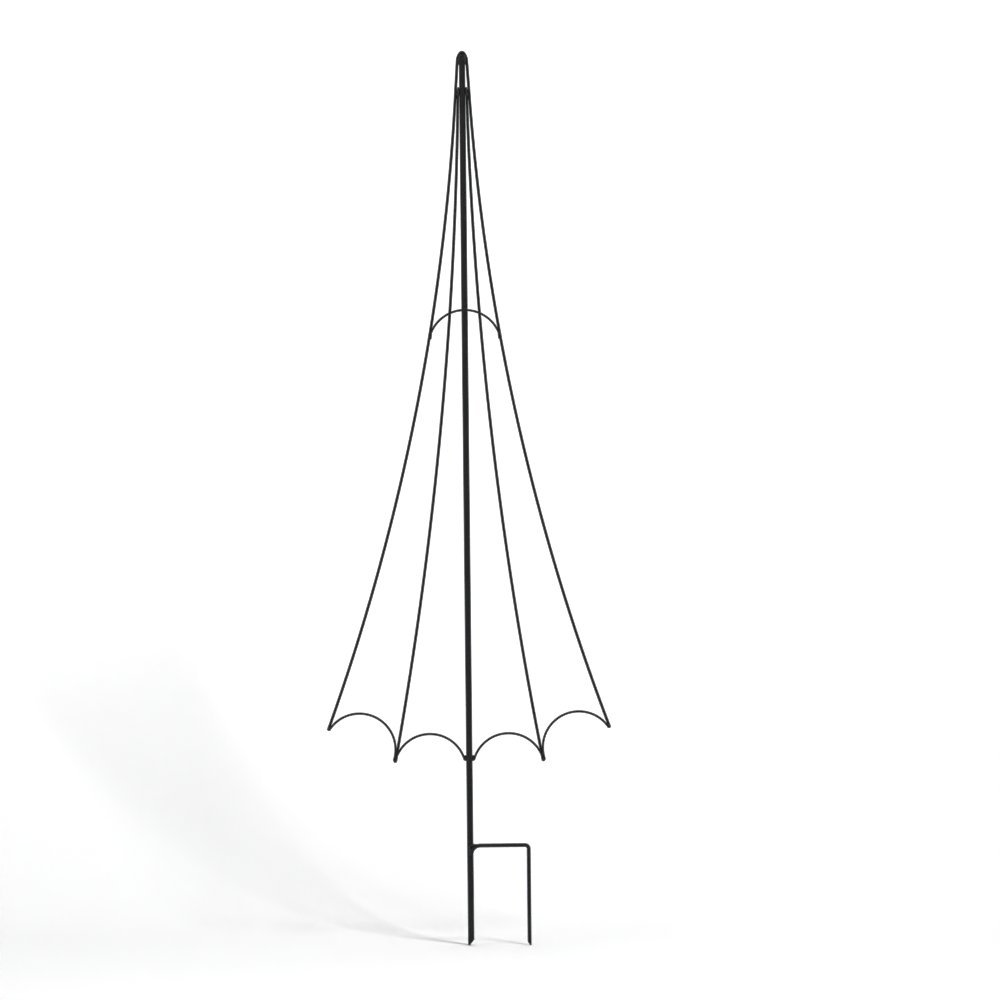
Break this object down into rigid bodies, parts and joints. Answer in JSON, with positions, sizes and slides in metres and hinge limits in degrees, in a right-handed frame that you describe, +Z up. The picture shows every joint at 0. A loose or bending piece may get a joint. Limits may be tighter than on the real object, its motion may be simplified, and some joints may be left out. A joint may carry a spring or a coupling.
{
  "type": "garden obelisk",
  "caption": "Flat umbrella-shaped trellis of black steel rod for a climbing plant, with a spiked post and a step-in stake.",
  "frame": {"origin": "on the centre post's axis at soil level, in line with the underside of the step bar", "axes": "+Z up along the post, +X to the right towards the step stake, -Y the front, where the brow arch and the stake lie"},
  "size_m": [0.477, 0.017, 1.5],
  "materials": {
    "coated_rod": "satin black powder coat over round steel rod",
    "coated_weld": "satin black powder coat over lumpy weld metal"
  },
  "bodies": {
    "root": {"center_post": "coated_rod", "outer_rib_frame": "coated_rod", "inner_rib_left": "coated_rod", "inner_rib_right": "coated_rod", "brow_arch": "coated_rod", "scallop_outer_left": "coated_rod", "scallop_inner_left": "coated_rod", "scallop_inner_right": "coated_rod", "scallop_outer_right": "coated_rod", "step_stake": "coated_rod", "crown_weld": "coated_weld", "collar_weld_left": "coated_weld", "collar_weld_right": "coated_weld", "arch_post_weld": "coated_weld", "arch_inner_rib_welds": "coated_weld", "arch_outer_rib_welds": "coated_weld", "outer_tip_welds": "coated_weld", "inner_tip_welds": "coated_weld", "scallop_post_welds": "coated_weld", "stake_weld": "coated_weld"}
  },
  "joints": []
}
